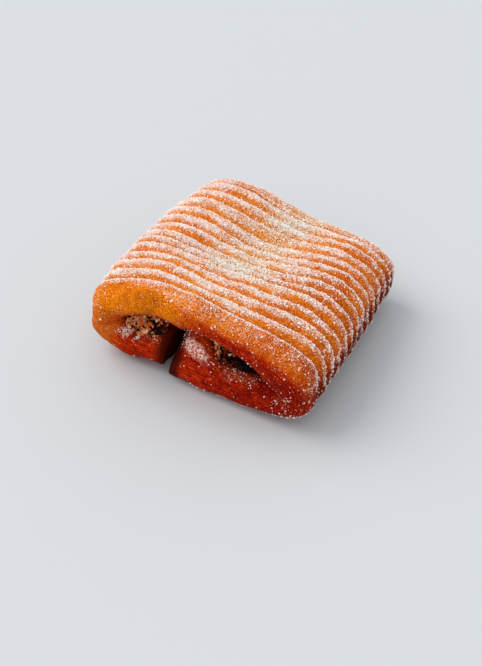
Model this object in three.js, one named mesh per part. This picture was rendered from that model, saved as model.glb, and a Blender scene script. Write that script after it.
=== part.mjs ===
// A pain suisse: one thick sheet of brioche dough, scored across its outside, whose two ends fold under
// a chocolate filling and meet in a seam underneath. Sizes are in millimetres. X runs along the score
// lines from the left curl to the right one, Y runs across them from the open front end, at -Y, to the
// open back end, and Z is up. The pastry lies on Z = 0, with the origin in the middle of its footprint.
import * as THREE from 'three';

const { lerp, clamp, smoothstep } = THREE.MathUtils;

// ---- Driving sizes -------------------------------------------------------------------------------

const HALF_WIDTH = 52.3; // over the two curled flanks
const HALF_LENGTH = 51.2; // from the middle to the tip of the front or back lip
const LIP_REACH = 8.5; // how far the rounding of a front or back lip reaches in
const SHEET = 12; // thickness of the baked sheet
const LIP_SWELLING = { thickness: 5.2, x: -5, halfWidth: 11, from: 15, to: 45 }; // of the front lip
const FLAP = 13.5; // thickness of the ends folded under
const FLAP_SET_BACK = { left: 3, right: 1.5 }; // how far a folded end stays behind the sheet's lips
// The plan is wider at the front than at the back, and leans a little to the left towards the back.
const PLAN = { taperToBack: 0.05, taperToEnds: 0.04, lean: -1.6 };

// The crown over the table: its height in the middle, and how it changes from left to right and from
// front to back. The left shoulder is the higher one, and both open ends are lower than the middle.
const CROWN = { middle: 45.8, toRight: -4.05, toBack: -1.6, toEnds: -6.85, toBackRight: -3.1 };
const CROWN_SQUARENESS = { across: 2.59, up: 3.28 };
const BASE_FLAT = 0.8; // what is pressed flat on the underside

// The dent pressed along the middle of the top, and a swelling at the front left.
const DENT = { depth: 6.2, toBack: 5.4, toEnds: -8.0, x: -1.8, drift: 6.6, halfWidth: 21.5 };
const SWELLING = { height: 2.5, x: -23, y: -33, halfWidth: 13, halfLength: 12 };

// The score lines, front to back: where each crosses the left shoulder, the middle and the right one.
const SCORES = [
  [-40.8, -40.2, -38.8],
  [-35.1, -34.3, -32.0],
  [-28.0, -27.7, -25.4],
  [-22.6, -21.5, -19.0],
  [-16.1, -14.6, -11.3],
  [-12.2, -10.6, -5.4],
  [-7.1, -5.8, 0.8],
  [-0.3, 1.2, 7.0],
  [6.7, 7.6, 14.0],
  [14.0, 15.6, 20.9],
  [23.0, 25.0, 28.2],
  [31.9, 33.2, 35.2],
  [40.2, 40.6, 41.2],
];
const SCORE_DEPTH = 2.5;
const SCORE_DEPTH_IN_DENT = 1.3;
const SCORE_FADE = 7; // the lines fade out over this height above the table
// A ridge between two lines: how high it stands, as a share of the depth, along its way to the back.
const RIDGE = [[0, 0], [0.22, 0.62], [0.5, 0.95], [0.8, 1]];

// The fold's inner crease on each side, at the front, in the middle and at the back.
const CREASE_LEFT = { x: -38, z: [19, 20, 18] };
const CREASE_RIGHT = { x: 40, z: [14, 17, 15] };

// The swollen noses of the two folded ends, and the slanted seam between them.
const NOSE_LEFT = { x: -15, height: [10, 11, 7], halfWidth: 11 };
const NOSE_RIGHT = { x: -1.5, height: [12.5, 11, 6], halfWidth: 7.5 };
const NOSE_SLOPE = { from: 1, to: 13 }; // over this distance from the tip of a lip a nose swells up
const NOSE_REACH = 5; // how far a rounded nose stands out towards the seam
const NOSE_SQUARENESS = 0.65; // 1 would be an ellipse, and less is squarer
const NOSE_CORNER = 7; // over this distance from the tip of a lip a nose is rounded in plan
const NOSE_CLEARANCE = 1.6; // from the noses to the sheet above them
const SEAM = { bottom: -14.6, top: -9, gap: 1.2, bow: 2 };
const SEAM_MOUTH = { gap: 7, from: 26, to: 47 }; // the seam's top gapes towards both open ends
const NOSE_LIFT = 5; // how far the left nose is lifted off the table at the front

// The filling behind the open ends.
const FILLING_LEFT = { from: -35, to: -15, recess: 6.5, dome: 2.5 };
const FILLING_RIGHT = { from: 7, to: 28.5, recess: 10, dome: 2 };
const FILLING_CLEARANCE = 0.85;

// ---- Form of the dough ---------------------------------------------------------------------------

const bell = (offset, halfWidth) => Math.exp(-((offset / halfWidth) ** 2));
const steepBell = (offset, halfWidth) => Math.exp(-(Math.abs(offset / halfWidth) ** 3));
const signedPower = (value, power) => Math.sign(value) * Math.abs(value) ** power;

/** One of three values given at the front, in the middle and at the back, eased in between. */
function along(values, y) {
  const eta = clamp(y / HALF_LENGTH, -1, 1);
  return eta < 0 ? lerp(values[1], values[0], -eta) : lerp(values[1], values[2], eta);
}

/** Half of the width at y, and the middle of the width there. */
function halfWidthAt(y) {
  const eta = y / HALF_LENGTH;
  return HALF_WIDTH * (1 - PLAN.taperToBack * eta - PLAN.taperToEnds * eta * eta);
}

const middleAt = (y) => PLAN.lean * y / HALF_LENGTH;

/** How deep the dent is at x, y. */
function dentAt(x, y) {
  const eta = y / HALF_LENGTH;
  const depth = DENT.depth + DENT.toBack * eta + DENT.toEnds * eta * eta;
  return depth * bell(x - DENT.x - DENT.drift * eta, DENT.halfWidth);
}

/** The crown's height over the table at the share xi of the half width, before the dent. */
function crownAt(xi, y) {
  const eta = y / HALF_LENGTH;
  return CROWN.middle + CROWN.toRight * xi + CROWN.toBack * eta
    + CROWN.toEnds * eta * eta + CROWN.toBackRight * xi * eta;
}

/** The smooth outside of the dough at a turn about Y: 0 is the right flank, PI / 2 the top. */
function outlineAt(turn, y) {
  const xi = signedPower(Math.cos(turn), 2 / CROWN_SQUARENESS.across);
  const rise = signedPower(Math.sin(turn), 2 / CROWN_SQUARENESS.up);
  const x = middleAt(y) + halfWidthAt(y) * xi;
  const crown = crownAt(xi, y);
  const raw = crown / 2 * (1 + rise);
  const onTop = clamp(rise, 0, 1);
  const swelling = SWELLING.height * bell(x - SWELLING.x, SWELLING.halfWidth)
    * bell(y - SWELLING.y, SWELLING.halfLength);
  const z = raw + (swelling - dentAt(x, y)) * onTop;
  return new THREE.Vector2(x, Math.max(z - BASE_FLAT, 0));
}

/** The height of the smooth top at x, y. */
function topAt(x, y) {
  const xi = clamp((x - middleAt(y)) / halfWidthAt(y), -0.999, 0.999);
  const turn = Math.acos(signedPower(xi, CROWN_SQUARENESS.across / 2));
  return outlineAt(turn, y).y;
}

/** How far the underside of the folded end is lifted off the table at x, y. */
function liftAt(x, y) {
  const nearNose = smoothstep(x, -40, -14) * (x < SEAM.bottom + 4 ? 1 : 0);
  return NOSE_LIFT * nearNose * smoothstep(-y, 22, 46);
}

/** The line between the two creases, and how far up the cavity opens above it or down below it. */
function creaseAt(x, y) {
  const left = along(CREASE_LEFT.z, y);
  const right = along(CREASE_RIGHT.z, y);
  return lerp(left, right, clamp((x - CREASE_LEFT.x) / (CREASE_RIGHT.x - CREASE_LEFT.x), 0, 1));
}

function openingShare(x, rightWedge) {
  const middle = (CREASE_LEFT.x + CREASE_RIGHT.x) / 2;
  const half = (CREASE_RIGHT.x - CREASE_LEFT.x) / 2;
  const xi = clamp((x - middle) / half, -1, 1);
  if (xi < 0) return (1 - (-xi) ** 3) ** 0.55;
  return lerp((1 - xi ** 3) ** 0.55, 1 - smoothstep(xi, 0.5, 1.08), rightWedge);
}

/** The thickness of the sheet over the cavity: its front lip is swollen in the middle. */
function sheetAt(x, y) {
  const { thickness, halfWidth, from, to } = LIP_SWELLING;
  return SHEET + thickness * smoothstep(-y, from, to) * bell(x - LIP_SWELLING.x, halfWidth);
}

/** The inside of the sheet above the cavity. */
function roofAt(x, y) {
  const roof = topAt(x, y) - sheetAt(x, y);
  const crease = creaseAt(x, y);
  return crease + Math.max(roof - crease, 0) * Math.max(openingShare(x, 0.85), 0);
}

/** The inside of the folded ends below the cavity; side is -1 for the left one, 1 for the right one. */
function floorAt(x, y, side) {
  const nose = side < 0 ? NOSE_LEFT : NOSE_RIGHT;
  const fromTip = HALF_LENGTH - Math.abs(y);
  const swell = along(nose.height, y) * smoothstep(fromTip, NOSE_SLOPE.from, NOSE_SLOPE.to);
  const full = FLAP + swell * steepBell(x - nose.x, nose.halfWidth);
  const crease = creaseAt(x, y);
  const open = openingShare(x, 0);
  const floor = crease + (full - crease) * Math.max(open, 0);
  return Math.min(floor, roofAt(x, y) - NOSE_CLEARANCE * Math.max(open, 0.05));
}

// ---- Stations along the sheet --------------------------------------------------------------------

const SEAM_TURN = -Math.PI / 2 - 0.14; // the seam lies a little left of the middle, underneath
const FLAP_STATIONS = 13; // on each folded end, from the nose to the middle of the flank
const TOP_STATIONS = 31; // from the middle of the left flank over the top to the right one
const NOSE_TURNS = [75, 55, 30]; // degrees, the rounding of a nose
const OUTLINE_STEPS = 400;

/** Points at even steps along the outline between two turns, as turns. */
function evenTurns(fromTurn, toTurn, count) {
  const lengths = [0];
  const turns = [fromTurn];
  for (let i = 1; i <= OUTLINE_STEPS; i += 1) {
    turns.push(lerp(fromTurn, toTurn, i / OUTLINE_STEPS));
    const step = outlineAt(turns[i], 0).distanceTo(outlineAt(turns[i - 1], 0));
    lengths.push(lengths[i - 1] + step);
  }
  const result = [];
  for (let k = 0, i = 1; k < count; k += 1) {
    const wanted = lengths[OUTLINE_STEPS] * k / (count - 1);
    while (i < OUTLINE_STEPS && lengths[i] < wanted) i += 1;
    const share = (wanted - lengths[i - 1]) / Math.max(lengths[i] - lengths[i - 1], 1e-9);
    result.push(lerp(turns[i - 1], turns[i], clamp(share, 0, 1)));
  }
  return result;
}

const leftTurns = evenTurns(SEAM_TURN, -Math.PI, FLAP_STATIONS);
const topTurns = evenTurns(Math.PI, 0, TOP_STATIONS);
const rightTurns = evenTurns(0, SEAM_TURN, FLAP_STATIONS);

/** Where a row lies on a folded end, which stays behind the lips; share grows away from the nose. */
function flapY(rowY, share, side) {
  const setBack = side < 0 ? FLAP_SET_BACK.left : FLAP_SET_BACK.right;
  return rowY * (1 - setBack * smoothstep(1 - share, 0, 0.5) / HALF_LENGTH);
}

/** How wide the top of the seam gapes at y. */
function seamTopGapAt(y) {
  return lerp(SEAM.gap, SEAM_MOUTH.gap, smoothstep(Math.abs(y), SEAM_MOUTH.from, SEAM_MOUTH.to));
}

/** The inner surface's point that lies opposite the outer one, at a share of a stretch. */
function innerOnFlap(share, rowY, side) {
  const y = flapY(rowY, share, side);
  const crease = side < 0 ? CREASE_LEFT : CREASE_RIGHT;
  const start = SEAM.top + side * (seamTopGapAt(y) / 2 + NOSE_REACH);
  const x = lerp(start, crease.x, Math.sin(share * Math.PI / 2));
  return new THREE.Vector2(x, floorAt(x, y, side));
}

function innerOnTop(share, y) {
  const middle = (CREASE_LEFT.x + CREASE_RIGHT.x) / 2;
  const half = (CREASE_RIGHT.x - CREASE_LEFT.x) / 2;
  const x = middle - half * Math.cos(share * Math.PI);
  return new THREE.Vector2(x, roofAt(x, y));
}

/** The outer surface of a folded end: it lies on the table and starts at the seam. */
function outerOnFlap(turn, share, rowY, side) {
  const y = flapY(rowY, share, side);
  const point = outlineAt(turn, y);
  const start = SEAM.bottom + side * (SEAM.gap / 2 + NOSE_REACH);
  const atSeam = outlineAt(SEAM_TURN, y).x;
  point.x += (start - atSeam) * (1 - share);
  if (side < 0) point.y += liftAt(point.x, y);
  return point;
}

/** Every station: its outer and inner point at y, its place over the width, and its nose rounding. */
function makeStations() {
  const stations = [];
  const addFlap = (turns, side, order) => order.forEach((i) => {
    const share = side < 0 ? i / (FLAP_STATIONS - 1) : 1 - i / (FLAP_STATIONS - 1);
    stations.push({
      outer: (y) => outerOnFlap(turns[i], share, y, side),
      inner: (y) => innerOnFlap(share, y, side),
      place: (y) => flapY(y, share, side),
      atSeam: (1 - share) ** 3,
    });
  });
  const addNose = (turns, side, order) => order.forEach((degrees) => {
    const turn = side < 0 ? turns[0] : turns[FLAP_STATIONS - 1];
    stations.push({
      outer: (y) => outerOnFlap(turn, 0, y, side),
      inner: (y) => innerOnFlap(0, y, side),
      place: (y) => flapY(y, 0, side),
      atSeam: 1,
      noseTurn: THREE.MathUtils.degToRad(degrees),
      side,
    });
  });
  const indices = [...Array(FLAP_STATIONS).keys()];
  addNose(leftTurns, -1, NOSE_TURNS);
  addFlap(leftTurns, -1, indices.slice(0, -1));
  topTurns.forEach((turn, i) => stations.push({
    outer: (y) => outlineAt(turn, y),
    inner: (y) => innerOnTop(i / (TOP_STATIONS - 1), y),
    place: (y) => y,
    atSeam: 0,
  }));
  addFlap(rightTurns, 1, indices.slice(1));
  addNose(rightTurns, 1, [...NOSE_TURNS].reverse());
  return stations;
}

/** Where the score line k runs at a place x over the width. */
function scoreAt(k, x) {
  const [left, middle, right] = SCORES[k];
  const xi = x / HALF_WIDTH;
  return xi < 0.3
    ? lerp(left, middle, smoothstep(xi, -0.75, 0.3))
    : lerp(middle, right, smoothstep(xi, 0.3, 0.8));
}

/** A score line's depth where the outside is at the point x, z. */
function scoreDepthAt(x, z, y) {
  const inDent = bell(x - DENT.x - DENT.drift * y / HALF_LENGTH, DENT.halfWidth * 0.8);
  const depth = lerp(SCORE_DEPTH, SCORE_DEPTH_IN_DENT, z > SHEET ? inDent : 0);
  return depth * smoothstep(z, 1, SCORE_FADE);
}

// ---- Rows across the sheet -----------------------------------------------------------------------

const LIP_START = HALF_LENGTH - LIP_REACH;
const LIP_TURNS = [0, 25, 45, 65, 90, 120, 150, 180]; // degrees, from the outside to the inside
const INNER_ROWS = 9;

/** The loop of rows round the sheet's section at x: y, depth share into the sheet, and groove share. */
function makeRows(x) {
  const rows = [];
  const lip = (side, turns) => turns.forEach((degrees) => {
    const turn = THREE.MathUtils.degToRad(degrees);
    rows.push({
      y: side * (LIP_START + LIP_REACH * Math.sin(turn)),
      share: (1 - Math.cos(turn)) / 2,
      groove: 0,
    });
  });
  for (let k = SCORES.length - 1; k >= 0; k -= 1) {
    const line = scoreAt(k, x);
    if (k < SCORES.length - 1) {
      const next = scoreAt(k + 1, x);
      RIDGE.slice(1).reverse().forEach(([place, height]) => {
        rows.push({ y: lerp(line, next, place), share: 0, groove: 1 - height });
      });
    }
    rows.push({ y: line, share: 0, groove: 1 });
  }
  rows.push({ y: scoreAt(0, x) - 1.0, share: 0, groove: 0 });
  lip(-1, LIP_TURNS);
  for (let i = 1; i < INNER_ROWS; i += 1) {
    rows.push({ y: lerp(-LIP_START, LIP_START, i / INNER_ROWS), share: 1, groove: 0 });
  }
  lip(1, [...LIP_TURNS].reverse());
  return rows;
}

/** The point of the dough's skin at a station and a row. */
function skinPoint(station, row) {
  const outer = station.outer(row.y);
  const inner = station.inner(row.y);
  let share = row.share;
  let reach = 0;
  if (station.noseTurn !== undefined) {
    share = 0.5 + (share - 0.5) * Math.cos(station.noseTurn) ** NOSE_SQUARENESS;
    const corner = Math.min((HALF_LENGTH - Math.abs(row.y)) / NOSE_CORNER, 1);
    reach = -station.side * NOSE_REACH * Math.sin(station.noseTurn) ** NOSE_SQUARENESS
      * Math.sqrt(1 - (1 - corner) ** 2);
  } else if (row.groove > 0) {
    const depth = row.groove * scoreDepthAt(outer.x, outer.y, row.y);
    share += depth / Math.max(outer.distanceTo(inner), 1);
  }
  const point = outer.clone().lerp(inner, share);
  const bow = SEAM.bow * 4 * share * (1 - share) * station.atSeam;
  return new THREE.Vector3(point.x + reach - bow, station.place(row.y), point.y);
}

/** Closes the end of a loop: joins its outer chain to its inner one as a strip. */
function closeEnd(indices, base, rows, loop, flip) {
  const outer = [];
  const inner = [];
  rows.forEach((row, j) => (row.share < 0.5 ? outer : inner).push(j));
  inner.sort((p, q) => rows[q].y - rows[p].y);
  outer.sort((p, q) => rows[q].y - rows[p].y);
  const add = (p, q, r) => indices.push(base + p, base + (flip ? r : q), base + (flip ? q : r));
  let i = 0;
  let k = 0;
  while (i < outer.length - 1 || k < inner.length - 1) {
    const stepOuter = k >= inner.length - 1
      || (i < outer.length - 1 && rows[outer[i + 1]].y > rows[inner[k + 1]].y);
    if (stepOuter) {
      add(outer[i], outer[i + 1], inner[k]);
      i += 1;
    } else {
      add(outer[i], inner[k + 1], inner[k]);
      k += 1;
    }
  }
}

/** A closed mesh from positions and triangles. */
function makeGeometry(positions, indices) {
  const geometry = new THREE.BufferGeometry();
  geometry.setAttribute('position', new THREE.Float32BufferAttribute(positions, 3));
  geometry.setIndex(indices);
  geometry.computeVertexNormals();
  return geometry;
}

function doughGeometry() {
  const stations = makeStations();
  const positions = [];
  const indices = [];
  let rows = [];
  stations.forEach((station) => {
    rows = makeRows(station.outer(0).x);
    rows.forEach((row) => positions.push(...skinPoint(station, row).toArray()));
  });
  const loop = rows.length;
  for (let i = 0; i < stations.length - 1; i += 1) {
    for (let j = 0; j < loop; j += 1) {
      const a = i * loop + j;
      const b = i * loop + (j + 1) % loop;
      indices.push(a, b, a + loop, b, b + loop, a + loop);
    }
  }
  closeEnd(indices, 0, makeRows(stations[0].outer(0).x), loop, true);
  const last = stations.length - 1;
  closeEnd(indices, last * loop, makeRows(stations[last].outer(0).x), loop, false);
  return makeGeometry(positions, indices);
}

// ---- Form of the filling -------------------------------------------------------------------------

const FILLING_SIDES = 22;
const FILLING_STATIONS = 14;
const FILLING_RINGS = [0.88, 0.66, 0.42, 0.2];

/** A point on the filling's section at y, at an angle and a share of the way out from its centre. */
function fillingPoint(filling, side, y, angle) {
  const middle = (filling.from + filling.to) / 2;
  const x = middle + (filling.to - filling.from) / 2 * Math.cos(angle);
  const roof = roofAt(x, y);
  const floor = floorAt(x, y, side);
  const room = Math.max((roof - floor) / 2 - FILLING_CLEARANCE, 0.05);
  const z = (roof + floor) / 2 + room * signedPower(Math.sin(angle), 0.6);
  return new THREE.Vector3(x, y, z);
}

/** Lumps of cream and chips of chocolate that stand out of an open end of the filling. */
function lumpAt(x, z, end) {
  return 1.1 * Math.sin(x * 0.9 + end) * Math.cos(z * 0.8 + x * 0.25)
    + 0.6 * Math.sin(x * 1.9 - z * 1.4 + 2 * end);
}

function fillingGeometry(filling, side) {
  const positions = [];
  const indices = [];
  const reach = HALF_LENGTH - filling.recess;
  const pushLoop = (y, ring, dome) => {
    const centre = new THREE.Vector3();
    const section = [];
    for (let j = 0; j < FILLING_SIDES; j += 1) {
      section.push(fillingPoint(filling, side, y, 2 * Math.PI * j / FILLING_SIDES));
      centre.add(section[j]);
    }
    centre.divideScalar(FILLING_SIDES);
    section.forEach((point) => {
      point.lerp(centre, 1 - ring);
      point.y += Math.sign(y) * (dome + (ring < 1 ? lumpAt(point.x, point.z, Math.sign(y)) : 0));
      positions.push(...point.toArray());
    });
    return centre;
  };
  const domeAt = (ring) => filling.dome * (1 - ring * ring);
  const front = -reach;
  const frontCentre = pushLoop(front, FILLING_RINGS[3], domeAt(FILLING_RINGS[3]));
  [2, 1, 0].forEach((i) => pushLoop(front, FILLING_RINGS[i], domeAt(FILLING_RINGS[i])));
  for (let i = 0; i <= FILLING_STATIONS; i += 1) {
    pushLoop(lerp(front, reach, i / FILLING_STATIONS), 1, 0);
  }
  [0, 1, 2].forEach((i) => pushLoop(reach, FILLING_RINGS[i], domeAt(FILLING_RINGS[i])));
  const backCentre = pushLoop(reach, FILLING_RINGS[3], domeAt(FILLING_RINGS[3]));
  const loops = positions.length / 3 / FILLING_SIDES;
  positions.push(frontCentre.x, front - filling.dome, frontCentre.z);
  positions.push(backCentre.x, reach + filling.dome, backCentre.z);
  for (let j = 0; j < FILLING_SIDES; j += 1) {
    const next = (j + 1) % FILLING_SIDES;
    for (let i = 0; i < loops - 1; i += 1) {
      const a = i * FILLING_SIDES + j;
      const b = i * FILLING_SIDES + next;
      indices.push(a, a + FILLING_SIDES, b, b, a + FILLING_SIDES, b + FILLING_SIDES);
    }
    const lastLoop = (loops - 1) * FILLING_SIDES;
    indices.push(loops * FILLING_SIDES, j, next);
    indices.push(loops * FILLING_SIDES + 1, lastLoop + next, lastLoop + j);
  }
  return makeGeometry(positions, indices);
}

// ---- The pastry ----------------------------------------------------------------------------------

const crust = new THREE.MeshStandardMaterial({ color: 0xd98440, roughness: 0.75, metalness: 0 });
const chocolate = new THREE.MeshStandardMaterial({ color: 0x4a2414, roughness: 0.6, metalness: 0 });

function part(name, geometry, material) {
  const mesh = new THREE.Mesh(geometry, material);
  mesh.name = name;
  return mesh;
}

const pastry = new THREE.Group();
pastry.add(
  part('dough', doughGeometry(), crust),
  part('filling_left', fillingGeometry(FILLING_LEFT, -1), chocolate),
  part('filling_right', fillingGeometry(FILLING_RIGHT, 1), chocolate),
);

const centre = new THREE.Box3().setFromObject(pastry).getCenter(new THREE.Vector3());
pastry.position.set(-centre.x, -centre.y, 0);

export default pastry;
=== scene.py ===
# %% [markdown]
# # A pain suisse
#
# The pastry is one thick sheet of brioche dough. Its outside is scored with thirteen lines, its two ends
# fold under a filling of cream and chocolate, and coarse sugar is strewn over it while it is warm.
#
# This file dresses a packed solid model of it. The solid has the true form, with few and flat faces. Here
# the same form is worked out again from the same named sizes, with a point about every half a millimetre, so
# that the crust can be smooth in one place and rough in another. The sugar is made of real grains.

# %% Load the frame
import math

import bpy
import numpy as np
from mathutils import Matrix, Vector, noise


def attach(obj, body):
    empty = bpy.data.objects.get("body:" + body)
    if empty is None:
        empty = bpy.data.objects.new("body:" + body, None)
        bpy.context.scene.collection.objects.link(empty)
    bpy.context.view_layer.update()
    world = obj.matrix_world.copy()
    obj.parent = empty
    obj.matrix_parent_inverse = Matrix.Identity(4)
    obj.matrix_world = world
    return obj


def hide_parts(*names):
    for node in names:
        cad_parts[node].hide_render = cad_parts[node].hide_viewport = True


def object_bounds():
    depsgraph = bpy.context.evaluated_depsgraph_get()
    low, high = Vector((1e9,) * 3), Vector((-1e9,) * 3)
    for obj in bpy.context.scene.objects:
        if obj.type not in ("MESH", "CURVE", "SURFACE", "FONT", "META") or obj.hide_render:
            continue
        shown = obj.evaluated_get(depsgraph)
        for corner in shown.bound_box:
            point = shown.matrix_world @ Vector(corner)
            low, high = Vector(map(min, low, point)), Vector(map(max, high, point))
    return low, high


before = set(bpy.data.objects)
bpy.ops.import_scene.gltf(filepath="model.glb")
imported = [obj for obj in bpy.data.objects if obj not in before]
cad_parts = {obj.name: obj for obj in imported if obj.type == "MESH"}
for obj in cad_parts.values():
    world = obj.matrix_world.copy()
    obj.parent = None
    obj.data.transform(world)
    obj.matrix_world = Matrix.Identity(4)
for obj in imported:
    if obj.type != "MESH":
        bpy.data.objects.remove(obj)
cad_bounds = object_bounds()
MM = 0.001
print("solids", sorted(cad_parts))
print("bounds", [[round(v / MM, 1) for v in corner] for corner in cad_bounds])

# %% [markdown]
# ## The sizes of the form
#
# All sizes are in millimetres, and are the driving sizes of the solid model. X runs along the score lines
# from the left curl to the right one, Y runs across them from the open front end, at -Y, to the back.
# Values that change from front to back come in threes: at the front, in the middle and at the back.

# %% Sizes
HALF_WIDTH = 52.3  # over the two curled flanks
HALF_LENGTH = 51.2  # from the middle to the tip of the front or back lip
LIP_REACH = 8.5  # how far the rounding of a front or back lip reaches in
LIP_START = HALF_LENGTH - LIP_REACH
SHEET = 12.0  # thickness of the baked sheet
FLAP = 13.5  # thickness of the ends folded under
LIP_SWELLING = {"thickness": 5.2, "x": -5, "half_width": 11, "from": 15, "to": 45}
FLAP_SET_BACK = {-1: 3.0, 1: 1.5}  # how far the left and the right folded end stay behind the lips
PLAN = {"taper_to_back": 0.05, "taper_to_ends": 0.04, "lean": -1.6}
CROWN = {"middle": 45.8, "to_right": -4.05, "to_back": -1.6, "to_ends": -6.85, "to_back_right": -3.1}
CROWN_SQUARENESS = {"across": 2.59, "up": 3.28}
BASE_FLAT = 0.8  # what is pressed flat on the underside
DENT = {"depth": 6.2, "to_back": 5.4, "to_ends": -8.0, "x": -1.8, "drift": 6.6, "half_width": 21.5}
SWELLING = {"height": 2.5, "x": -23, "y": -33, "half_width": 13, "half_length": 12}

SCORES = (  # where each score line crosses the left shoulder, the middle and the right one
    (-40.8, -40.2, -38.8), (-35.1, -34.3, -32.0), (-28.0, -27.7, -25.4), (-22.6, -21.5, -19.0),
    (-16.1, -14.6, -11.3), (-12.2, -10.6, -5.4), (-7.1, -5.8, 0.8), (-0.3, 1.2, 7.0),
    (6.7, 7.6, 14.0), (14.0, 15.6, 20.9), (23.0, 25.0, 28.2), (31.9, 33.2, 35.2), (40.2, 40.6, 41.2),
)
SCORE_DEPTH = 2.5
SCORE_DEPTH_IN_DENT = 1.3
SCORE_FADE = 7.0  # the lines fade out over this height above the table

CREASE_LEFT = {"x": -38.0, "z": (19, 20, 18)}  # the fold's inner crease on each side
CREASE_RIGHT = {"x": 40.0, "z": (14, 17, 15)}
CREASE_MIDDLE = (CREASE_LEFT["x"] + CREASE_RIGHT["x"]) / 2
CREASE_HALF = (CREASE_RIGHT["x"] - CREASE_LEFT["x"]) / 2
OPENING_SQUARENESS = {"across": 3, "up": 0.55}
RIGHT_WEDGE = {"share": 0.85, "from": 0.5, "to": 1.08}  # the roof comes down to the right crease as a wedge
NOSE_LEFT = {"x": -15.0, "height": (10, 11, 7), "half_width": 11.0}
NOSE_RIGHT = {"x": -1.5, "height": (12.5, 11, 6), "half_width": 7.5}
NOSE_SLOPE = (1.0, 13.0)  # over this distance from the tip of a lip a nose swells up
NOSE_REACH = 5.0  # how far a rounded nose stands out towards the seam
NOSE_SQUARENESS = 0.65
NOSE_CORNER = 7.0  # over this distance from the tip of a lip a nose is rounded in plan
NOSE_CLEARANCE = 1.6
NOSE_LIFT = {  # towards the front the left nose is lifted off the table, and at its end it sags again
    "height": 5.0, "over_x": (-40, -14), "over_y": (22, 46), "sag": 0.3, "sag_over_x": (-28, -20),
}
SEAM = {"bottom": -14.6, "top": -9.0, "gap": 1.2, "bow": 2.0}
SEAM_MOUTH = {"gap": 7.0, "from": 26, "to": 47}
MOUTH_CORNERS = {"left": 1.0, "left_inside": 0.7, "right": 0.9, "right_inside": 0.8, "left_bulge": 0.9}

FILLINGS = {
    "filling_left": {"side": -1, "from": -35.0, "to": -15.0, "recess": 6.5, "dome": 2.5},
    "filling_right": {"side": 1, "from": 7.0, "to": 28.5, "recess": 10.0, "dome": 2.0},
}
FILLING_CLEARANCE = 0.85
print(len(SCORES), "score lines on a sheet of", SHEET, "mm")

# %% [markdown]
# ## Small tools for shapes
#
# Most of the form is made by easing between values. These few functions do it for whole arrays at once,
# which is why the dense surface takes only seconds.

# %% Tools for shapes
def smoothstep(value, low, high):
    share = np.clip((value - low) / (high - low), 0, 1)
    return share * share * (3 - 2 * share)


def lerp(start, end, share):
    return start + (end - start) * share


def bell(offset, half_width):
    return np.exp(-((offset / half_width) ** 2))


def steep_bell(offset, half_width):
    return np.exp(-(np.abs(offset / half_width) ** 3))


def signed_power(value, power):
    return np.sign(value) * np.abs(value) ** power


def along(values, y):
    """One of three values given at the front, in the middle and at the back, eased in between."""
    eta = np.clip(y / HALF_LENGTH, -1, 1)
    return np.where(eta < 0, lerp(values[1], values[0], -eta), lerp(values[1], values[2], eta))


def noise_at(points, lump, seed):
    """Smooth noise of about -0.5 to 0.5 at points in millimetres, with lumps of the given size."""
    shift = Vector((17.3, 5.1, -9.7)) * seed
    flat = points.reshape(-1, 3) / lump
    values = [noise.noise(Vector(point) + shift) for point in flat.tolist()]
    return np.array(values).reshape(points.shape[:-1])


print("smoothstep in the middle:", smoothstep(0.5, 0, 1))

# %% [markdown]
# ## The form of the dough
#
# Seen from the front the pastry is a squarish oval, a superellipse whose powers set how square it is across
# and up. The crown's height changes from left to right and from front to back, and the dent is a bell
# pressed into it. Inside, the roof of the cavity is the top less the thickness of the sheet, and its floor
# is the top of the folded ends, which swell into a nose on each side of the seam.

# %% Form of the dough
def half_width_at(y):
    eta = y / HALF_LENGTH
    return HALF_WIDTH * (1 - PLAN["taper_to_back"] * eta - PLAN["taper_to_ends"] * eta**2)


def middle_at(y):
    return PLAN["lean"] * y / HALF_LENGTH


def dent_bell(x, y, width_share=1.0):
    centre = DENT["x"] + DENT["drift"] * y / HALF_LENGTH
    return bell(x - centre, DENT["half_width"] * width_share)


def dent_at(x, y):
    eta = y / HALF_LENGTH
    return (DENT["depth"] + DENT["to_back"] * eta + DENT["to_ends"] * eta**2) * dent_bell(x, y)


def crown_at(xi, y):
    eta = y / HALF_LENGTH
    slope = CROWN["to_right"] * xi + CROWN["to_back"] * eta
    return CROWN["middle"] + slope + CROWN["to_ends"] * eta**2 + CROWN["to_back_right"] * xi * eta


def outline_at(turn, y):
    """X and Z of the smooth outside at a turn about Y: 0 is the right flank, pi / 2 the top."""
    xi = signed_power(np.cos(turn), 2 / CROWN_SQUARENESS["across"])
    rise = signed_power(np.sin(turn), 2 / CROWN_SQUARENESS["up"])
    x = middle_at(y) + half_width_at(y) * xi
    swelling = bell(x - SWELLING["x"], SWELLING["half_width"])
    swelling = swelling * bell(y - SWELLING["y"], SWELLING["half_length"])
    relief = (SWELLING["height"] * swelling - dent_at(x, y)) * np.clip(rise, 0, 1)
    return x, np.maximum(crown_at(xi, y) / 2 * (1 + rise) + relief - BASE_FLAT, 0)


def top_at(x, y):
    xi = np.clip((x - middle_at(y)) / half_width_at(y), -0.999, 0.999)
    return outline_at(np.arccos(signed_power(xi, CROWN_SQUARENESS["across"] / 2)), y)[1]


def lift_at(x, y):
    """How high the underside of the left folded end lies; towards its nose it sags again."""
    sagging = 1 - NOSE_LIFT["sag"] * smoothstep(x, *NOSE_LIFT["sag_over_x"])
    near_nose = smoothstep(x, *NOSE_LIFT["over_x"]) * sagging
    return NOSE_LIFT["height"] * near_nose * smoothstep(-y, *NOSE_LIFT["over_y"])


def crease_at(x, y):
    share = np.clip((x - CREASE_LEFT["x"]) / (CREASE_RIGHT["x"] - CREASE_LEFT["x"]), 0, 1)
    return lerp(along(CREASE_LEFT["z"], y), along(CREASE_RIGHT["z"], y), share)


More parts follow.
